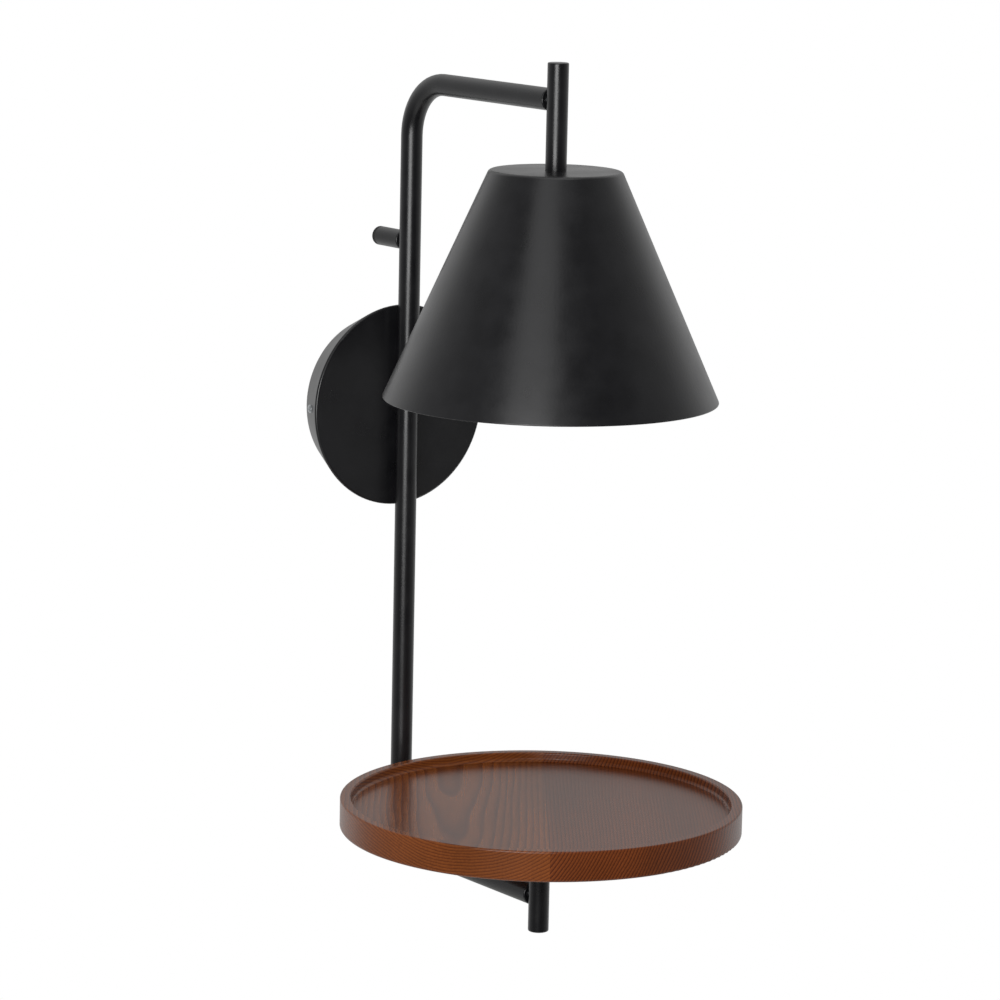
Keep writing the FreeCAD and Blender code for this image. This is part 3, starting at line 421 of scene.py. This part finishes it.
def plated_metal(name, low, high, rough_low, rough_high, cloud_mm):
    """Metal with clouds in its colour and gloss, and fine marks from rolling or turning."""
    material, tree, place = new_material(name)
    cloud = noise(tree, place, 1000 / cloud_mm, 4.0)
    tint = ramp(tree, (cloud, "Fac"), [(0.3, low), (0.7, high)])
    gloss = spread(tree, (cloud, "Fac"), 0.3, 0.7, rough_low, rough_high)
    marks = noise(tree, place, 1000 / MARK_MM, 1.0)
    metal = add_node(tree, "ShaderNodeBsdfPrincipled",
                     inputs={"Base Color": (tint, "Color"), "Metallic": 1.0,
                             "Roughness": (gloss, "Result"),
                             "Normal": bumps(tree, (marks, "Fac"), 0.3, MARK_DEPTH_MM)})
    show(tree, metal)
    return material


zinc = plated_metal("zinc_plated_steel", "#a9adb0", "#c3c6c8", 0.28, 0.42, cloud_mm=6.0)
brass = plated_metal("plain_brass", "#b8924f", "#cdab68", 0.22, 0.34, cloud_mm=4.0)
nickel = plated_metal("nickel_plated_brass", "#bab6ac", "#cdc9c0", 0.20, 0.32, cloud_mm=4.0)
print("metals:", zinc.name, brass.name, nickel.name)

# %% [markdown]
# ## Plastics, rubber, ceramic and glass
#
# The lampholder is pressed phenolic resin, the terminal block is cast nylon, and the wires have
# soft vinyl round them. Each has a light pebble from its mould. The earth wire is green with a
# yellow stripe, as wiring rules ask. The bulb is opal glass, which scatters light in its depth.

# %% Plastics, rubber, ceramic and glass
VINYL_GRAIN_MM = 0.5
VINYL_DEPTH_MM = 0.01
SCATTER = (0.004, 0.004, 0.004)   # how far light wanders in the opal glass, in metres


def moulded(name, low, high, rough, pebble_mm, depth_mm, ior, coat=0.0):
    """A moulded or glazed surface: near colours, and a pebble of the given size and depth."""
    material, tree, place = new_material(name)
    cloud = noise(tree, place, 90.0, 3.0)
    tint = ramp(tree, (cloud, "Fac"), [(0.3, low), (0.7, high)])
    pebble = noise(tree, place, 1000 / pebble_mm, 2.0)
    skin = add_node(tree, "ShaderNodeBsdfPrincipled",
                    inputs={"Base Color": (tint, "Color"), "Roughness": rough, "IOR": ior,
                            "Coat Weight": coat, "Coat Roughness": 0.1,
                            "Normal": bumps(tree, (pebble, "Fac"), 0.5, depth_mm)})
    show(tree, skin)
    return material


def earth_insulation():
    """Green vinyl with a yellow stripe along one side of the wire."""
    material, tree, place = new_material("green_yellow_vinyl")
    side = add_node(tree, "ShaderNodeNewGeometry")
    facing = add_node(tree, "ShaderNodeSeparateXYZ", inputs={0: (side, "Normal")})
    tint = ramp(tree, (facing, "X"), [(0.25, "#2f8f3a"), (0.32, "#e3cf2c")])
    grain = noise(tree, place, 1000 / VINYL_GRAIN_MM)
    vinyl = add_node(tree, "ShaderNodeBsdfPrincipled",
                     inputs={"Base Color": (tint, "Color"), "Roughness": 0.45, "IOR": 1.5,
                             "Normal": bumps(tree, (grain, "Fac"), 0.3, VINYL_DEPTH_MM)})
    show(tree, vinyl)
    return material


def opal():
    """White glass whose light scatters under a smooth skin."""
    material, tree, place = new_material("opal_glass")
    cloud = noise(tree, place, 40.0)
    tint = ramp(tree, (cloud, "Fac"), [(0.3, "#f1eee6"), (0.7, "#f7f4ec")])
    glass = add_node(tree, "ShaderNodeBsdfPrincipled",
                     inputs={"Base Color": (tint, "Color"), "Roughness": 0.12, "IOR": 1.5,
                             "Subsurface Weight": 0.4, "Subsurface Radius": SCATTER})
    show(tree, glass)
    return material


# Name, two colours, roughness, pebble size and depth in mm, and index of refraction.
phenolic = moulded("black_phenolic", "#161616", "#1d1d1c", 0.32, 0.9, 0.02, 1.55)
nylon = moulded("white_nylon", "#dfdfda", "#eaeae6", 0.5, 0.6, 0.02, 1.53)
brown_vinyl = moulded("brown_vinyl", "#54331f", "#5e3a24", 0.45, 0.4, 0.01, 1.5)
blue_vinyl = moulded("blue_vinyl", "#2450a0", "#2b5ab0", 0.45, 0.4, 0.01, 1.5)
earth_vinyl = earth_insulation()
rubber = moulded("black_rubber", "#191919", "#232323", 0.75, 0.5, 0.04, 1.52)
glaze = moulded("white_glazed_ceramic", "#e8e4d8", "#f0ede3", 0.35, 3.0, 0.03, 1.5, coat=0.8)
vitrite = moulded("black_vitrite", "#0c0c10", "#15151a", 0.12, 2.0, 0.02, 1.52)
opal_glass = opal()
print("materials so far:", len(bpy.data.materials))

# %% [markdown]
# ## Dressing the solids
#
# The record names a finish for each solid. Each finish now has its material, so every solid takes
# the material of its finish. Only its material slots are touched.

# %% Dress the solids
FINISHES = {
    "black_coat": black_coat, "shade_coat": black_coat, "zinc_steel": zinc, "brass": brass,
    "nickel": nickel, "white_plastic": nylon, "black_plastic": phenolic, "ceramic": glaze,
    "black_glass": vitrite, "rubber": rubber, "opal_glass": opal_glass, "wire_brown": brown_vinyl,
    "wire_blue": blue_vinyl, "wire_green": earth_vinyl, "wood": wood,
}
slot_of = {part["node"]: part["material_slot"] for part in frame["record"]["subparts"]}
for name, solid in nodes.items():
    solid.data.materials.clear()
    solid.data.materials.append(FINISHES[slot_of[name]])
print("dressed", len(nodes), "solids in", len(set(slot_of.values())), "finishes")

# %% [markdown]
# ## The spun shade
#
# The shade is a disc of thin steel that was spun over a cone, with a flat top, a rounded shoulder,
# and a rim that is folded inwards so that no raw edge shows. It could be spun from a drawn outline.
# A cone primitive gives the same skin sooner: its two lids are opened, the rim is extruded round
# the fold and back up the inside, the corners are bevelled, and Solidify adds the sheet's
# thickness.
#
# The first cell holds the tools that all three modelled pieces share.

# %% Helpers for modelling
MERGE_WITHIN = 0.000005
SMOOTH_UNDER = math.radians(35)


def start_piece(name):
    """Takes the primitive that was just added, names it and opens it for editing."""
    piece = bpy.context.object
    piece.name = name
    piece.data.name = name
    bpy.ops.object.transform_apply(location=True, rotation=True, scale=True)
    bpy.ops.object.mode_set(mode="EDIT")
    return piece


def pick(piece, kind, test):
    """Selects only the faces, edges or vertices that pass a test, and says how many."""
    bpy.ops.mesh.select_mode(type={"faces": "FACE", "edges": "EDGE", "verts": "VERT"}[kind])
    bpy.ops.mesh.select_all(action="DESELECT")
    mesh = bmesh.from_edit_mesh(piece.data)
    chosen = [part for part in getattr(mesh, kind) if test(part)]
    for part in chosen:
        part.select_set(True)
    bmesh.update_edit_mesh(piece.data)
    return len(chosen)


def from_axis(point):
    """Distance from the upright axis of the stem, the shade and the tray."""
    return math.hypot(point.x, point.y - AXIS_Y)


def all_at(z, near=0.00001):
    """A test for edges and faces that lie at one height."""
    return lambda part: all(abs(v.co.z - z) < near for v in part.verts)


def face_out(piece):
    """Turns all normals over if the largest face looks at the axis."""
    face = max(piece.data.polygons, key=lambda f: f.area)
    if face.normal.dot(face.center - Vector((0, AXIS_Y, face.center.z))) < 0:
        piece.data.flip_normals()


def thicken(piece, name, thickness, even=False):
    """Gives a sheet its thickness, inwards from the skin that was drawn."""
    wall = piece.modifiers.new(name, "SOLIDIFY")
    wall.thickness = thickness
    wall.offset = -1.0
    wall.use_even_offset = even
    bpy.ops.object.modifier_apply(modifier=name)


def finish_piece(piece, body, slot, *materials):
    """Closes the mesh, smooths it and hands it to the body that carries it."""
    bpy.ops.object.mode_set(mode="EDIT")
    bpy.ops.mesh.select_mode(type="VERT")
    bpy.ops.mesh.select_all(action="SELECT")
    bpy.ops.mesh.remove_doubles(threshold=MERGE_WITHIN)
    bpy.ops.mesh.normals_make_consistent(inside=False)
    bpy.ops.object.mode_set(mode="OBJECT")
    bpy.ops.object.shade_smooth_by_angle(angle=SMOOTH_UNDER)
    for material in materials:
        piece.data.materials.append(material)
    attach(piece, body)
    size = [round(side * 1000, 1) for side in piece.dimensions]
    print(piece.name, len(piece.data.polygons), "faces,", size, "mm")


# %% [markdown]
# ### The sheet, its hem and its coats
#
# The hem is a fold, so the skin turns round the rim and runs back up a few millimetres inside. The
# outside gets the black coat, and the inside, with the underside of the top, the white one. Two
# shells could carry the two coats, but one sheet with two finishes leaves no gap between them.

# %% Shade
SHEET = 0.001              # thickness of the spun steel
SHADE_TOP_R = 0.0375       # where the slope and the top would meet without the rounding
SHADE_SIDES = 160
NIPPLE_HOLE_R = 0.0052
HEM = 0.004                # height of the folded edge
HEM_IN = 2.25 * SHEET      # how far inwards the edge is folded
FOLD_R = 0.0010
SHOULDER_BEVEL = 0.00162
SHOULDER_FROM_R = 0.036    # edges of the top that are further out than this are the shoulder
TOP_DEPTH = 0.003
SKIN_DEPTH = 0.0006        # faces that lie deeper than this below the slope are inside
shade_low, shade_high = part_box("shade")
RIM_R = (shade_high.x - shade_low.x) / 2
SLOPE = (RIM_R - SHADE_TOP_R) / (shade_high.z - shade_low.z)


def squeeze(factor, z):
    """Scales what is selected towards the upright axis."""
    bpy.ops.transform.resize(value=(factor, factor, 1), center_override=(0, AXIS_Y, z))


def is_shoulder(edge):
    """True for the edges where the slope of the shade meets its top."""
    nearest = min(from_axis(v.co) for v in edge.verts)
    return all_at(shade_high.z)(edge) and nearest > SHOULDER_FROM_R


def is_inside_shade(face):
    """True for the faces that the white coat covers."""
    depth = RIM_R - SLOPE * (face.center.z - shade_low.z) - from_axis(face.center)
    outwards = Vector((face.center.x, face.center.y - AXIS_Y, 0))
    under_top = face.normal.z < -0.8 and face.center.z > shade_high.z - TOP_DEPTH
    return (under_top or face.normal.dot(outwards) < 0) and depth > SKIN_DEPTH


def spun_shade():
    """The shade as one skin of sheet steel with a folded hem."""
    bpy.ops.object.select_all(action="DESELECT")
    bpy.ops.mesh.primitive_cone_add(vertices=SHADE_SIDES, radius1=RIM_R, radius2=SHADE_TOP_R,
                                    depth=shade_high.z - shade_low.z, end_fill_type="NGON",
                                    location=(0, AXIS_Y, (shade_high.z + shade_low.z) / 2))
    piece = start_piece("spun_shade")
    pick(piece, "faces", lambda f: f.normal.z < -0.9)
    bpy.ops.mesh.delete(type="FACE")
    pick(piece, "faces", lambda f: f.normal.z > 0.9)
    bpy.ops.mesh.inset(thickness=SHADE_TOP_R - NIPPLE_HOLE_R)
    bpy.ops.mesh.delete(type="FACE")
    pick(piece, "edges", all_at(shade_low.z))
    inward = (RIM_R - HEM_IN) / RIM_R
    bpy.ops.mesh.extrude_edges_move()
    squeeze(inward, shade_low.z)
    bpy.ops.mesh.extrude_edges_move(TRANSFORM_OT_translate={"value": (0, 0, HEM)})
    squeeze(1 - SLOPE * HEM / (RIM_R * inward), shade_low.z)
    pick(piece, "edges", all_at(shade_low.z))
    bpy.ops.mesh.bevel(offset=FOLD_R, offset_type="OFFSET", segments=5, profile=0.5)
    pick(piece, "edges", is_shoulder)
    bpy.ops.mesh.bevel(offset=SHOULDER_BEVEL, offset_type="OFFSET", segments=6, profile=0.5)
    bpy.ops.mesh.select_all(action="SELECT")
    bpy.ops.mesh.normals_make_consistent(inside=False)
    bpy.ops.object.mode_set(mode="OBJECT")
    face_out(piece)
    thicken(piece, "sheet", SHEET, even=True)
    finish_piece(piece, "lamp", "shade_coat", black_coat, white_coat)
    for face in piece.data.polygons:
        face.material_index = 1 if is_inside_shade(face) else 0
    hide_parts("shade")


spun_shade()

# %% [markdown]
# ## The rolled thread of the bulb's cap
#
# The cap of the bulb is thin plated brass with a round thread rolled into it, which climbs 3.629 mm
# in each turn. A thread could be faked with stacked rings, but then nothing climbs. Here one wave
# of it is drawn by extruding a point, and the Screw modifier carries the wave up and round. The
# two ends are cut level, and a plain collar closes the foot, where the cap holds the glass.

# %% Bulb cap
PITCH = 0.003629
THREAD_WAVE = 0.00045      # half the height of the wave
WAVE_POINTS = 8
THREAD_TURNS = 8
STEPS_ROUND = 72
CAP_WALL = 0.0004
THREAD_STARTS_BELOW = 0.002    # the wave begins below the foot and is cut level afterwards
THREAD_FOOT = 0.004            # the cut, in the height of the collar
TOP_CUT = 0.0002
COLLAR_INSET = 0.0001
COLLAR_ROUNDING = 0.0004
COLLAR_TOP = 0.0040            # where the rounding of its upper edge begins
COLLAR_RISE = 0.0006
COLLAR_WALL = 0.0010
cap_low, cap_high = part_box("bulb_cap")
CAP_R = (cap_high.x - cap_low.x) / 2


def drawn_line(name, points):
    """A line of edges, drawn from one vertex by extruding it from point to point."""
    bpy.ops.object.select_all(action="DESELECT")
    bpy.ops.mesh.primitive_plane_add(size=0.001, location=(0, AXIS_Y, 0))
    piece = bpy.context.object
    piece.name = name
    piece.data.name = name
    bpy.ops.object.mode_set(mode="EDIT")
    bpy.ops.mesh.select_all(action="SELECT")
    bpy.ops.mesh.merge(type="CENTER")
    bpy.ops.transform.translate(value=points[0])
    for start, end in zip(points, points[1:]):
        step = [b - a for a, b in zip(start, end)]
        bpy.ops.mesh.extrude_vertices_move(TRANSFORM_OT_translate={"value": step})
    bpy.ops.object.mode_set(mode="OBJECT")
    return piece


def open_line(steps=None):
    """Opens a drawn line for editing, with all of it selected, and spins it if steps are given."""
    bpy.ops.object.transform_apply(location=True, rotation=True, scale=True)
    bpy.ops.object.mode_set(mode="EDIT")
    bpy.ops.mesh.select_all(action="SELECT")
    if steps:
        bpy.ops.mesh.spin(steps=steps, angle=2 * math.pi, center=(0, AXIS_Y, 0), axis=(0, 0, 1))


def cut_level(z, side):
    """Cuts the piece level at a height, and drops what lies above (1) or below (-1)."""
    bpy.ops.mesh.select_all(action="SELECT")
    bpy.ops.mesh.bisect(plane_co=(0, AXIS_Y, z), plane_no=(0, 0, side), clear_outer=True)


def thread_wave():
    """Points of one wave of the thread, from the bottom up."""
    points = []
    for i in range(WAVE_POINTS + 1):
        swing = THREAD_WAVE * math.cos(2 * math.pi * i / WAVE_POINTS)
        height = cap_low.z - THREAD_STARTS_BELOW + PITCH * i / WAVE_POINTS
        points.append((CAP_R - THREAD_WAVE + swing, 0, height))
    return points


def cap_collar():
    """The plain collar at the cap's foot, spun from its outline."""
    outer = CAP_R - COLLAR_INSET
    foot, top = cap_low.z, cap_low.z + COLLAR_TOP + COLLAR_RISE
    outline = [
        (outer - COLLAR_WALL / 2, foot), (outer, foot + COLLAR_ROUNDING),
        (outer, foot + COLLAR_TOP), (outer - COLLAR_ROUNDING, top),
        (outer - COLLAR_WALL, top), (outer - COLLAR_WALL, foot), (outer - COLLAR_WALL / 2, foot)]
    collar = drawn_line("cap_collar", [(r, 0, z) for r, z in outline])
    open_line(STEPS_ROUND)
    bpy.ops.object.mode_set(mode="OBJECT")
    return collar


def rolled_cap():
    """The cap's thread and collar."""
    piece = drawn_line("rolled_bulb_cap", thread_wave())
    screw = piece.modifiers.new("thread", "SCREW")
    screw.axis = "Z"
    screw.angle = 2 * math.pi
    screw.screw_offset = PITCH
    screw.iterations = THREAD_TURNS
    screw.steps = screw.render_steps = STEPS_ROUND
    screw.use_merge_vertices = True
    bpy.ops.object.modifier_apply(modifier="thread")
    open_line()
    bpy.ops.mesh.remove_doubles(threshold=MERGE_WITHIN)
    cut_level(cap_low.z + THREAD_FOOT, -1)
    cut_level(cap_high.z - TOP_CUT, 1)
    bpy.ops.mesh.select_all(action="SELECT")
    bpy.ops.mesh.normals_make_consistent(inside=False)
    bpy.ops.object.mode_set(mode="OBJECT")
    face_out(piece)
    thicken(piece, "wall", CAP_WALL)
    collar = cap_collar()
    bpy.ops.object.select_all(action="DESELECT")
    collar.select_set(True)
    piece.select_set(True)
    bpy.context.view_layer.objects.active = piece
    bpy.ops.object.join()
    finish_piece(piece, "bulb", "nickel", nickel)
    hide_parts("bulb_cap")


rolled_cap()

# %% [markdown]
# ## The grip of the lampholder
#
# The lower half of the lampholder is pressed from black resin. It has upright ribs, so that dry
# fingers can screw it off. The body is a drawn outline that is spun round the axis. Then every
# second strip of its slope is extruded outwards, which leaves one rib beside each groove.

# %% Lampholder barrel
RIBS = 36
RIB_HEIGHT = 0.0005
BORE_R = 0.0141
barrel_low, barrel_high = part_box("holder_barrel")
BARREL_R = (barrel_high.x - barrel_low.x) / 2
SEAM_Z = barrel_high.z - 0.006


def is_rib(face):
    """True for every second strip of the barrel's slope."""
    centre = face.calc_center_median()
    on_slope = barrel_low.z + 0.0035 < centre.z < SEAM_Z - 0.007
    outside = from_axis(centre) > BORE_R + 0.001
    strip = math.atan2(centre.y - AXIS_Y, centre.x) / (2 * math.pi) * 2 * RIBS
    return on_slope and outside and math.floor(strip) % 2 == 0


def ribbed_barrel():
    """The lower half of the lampholder with its ribs."""
    outline = [
        (BORE_R, barrel_high.z), (BARREL_R - 0.002, barrel_high.z), (BARREL_R - 0.002, SEAM_Z),
        (BARREL_R, SEAM_Z), (BARREL_R, SEAM_Z - 0.003), (BARREL_R - 0.001, SEAM_Z - 0.004),
        (BARREL_R - 0.0013, SEAM_Z - 0.006), (BORE_R + 0.0019, barrel_low.z + 0.003),
        (BORE_R + 0.0018, barrel_low.z + 0.001), (BORE_R + 0.0008, barrel_low.z),
        (BORE_R, barrel_low.z), (BORE_R, barrel_high.z)]
    piece = drawn_line("ribbed_barrel", [(r, 0, z) for r, z in outline])
    open_line(2 * RIBS)
    bpy.ops.mesh.select_all(action="SELECT")
    bpy.ops.mesh.remove_doubles(threshold=MERGE_WITHIN)
    bpy.ops.mesh.normals_make_consistent(inside=False)
    print("ribs:", pick(piece, "faces", is_rib))
    bpy.ops.mesh.extrude_faces_move(TRANSFORM_OT_shrink_fatten={"value": RIB_HEIGHT})
    finish_piece(piece, "lamp", "black_plastic", phenolic)
    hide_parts("holder_barrel")


ribbed_barrel()
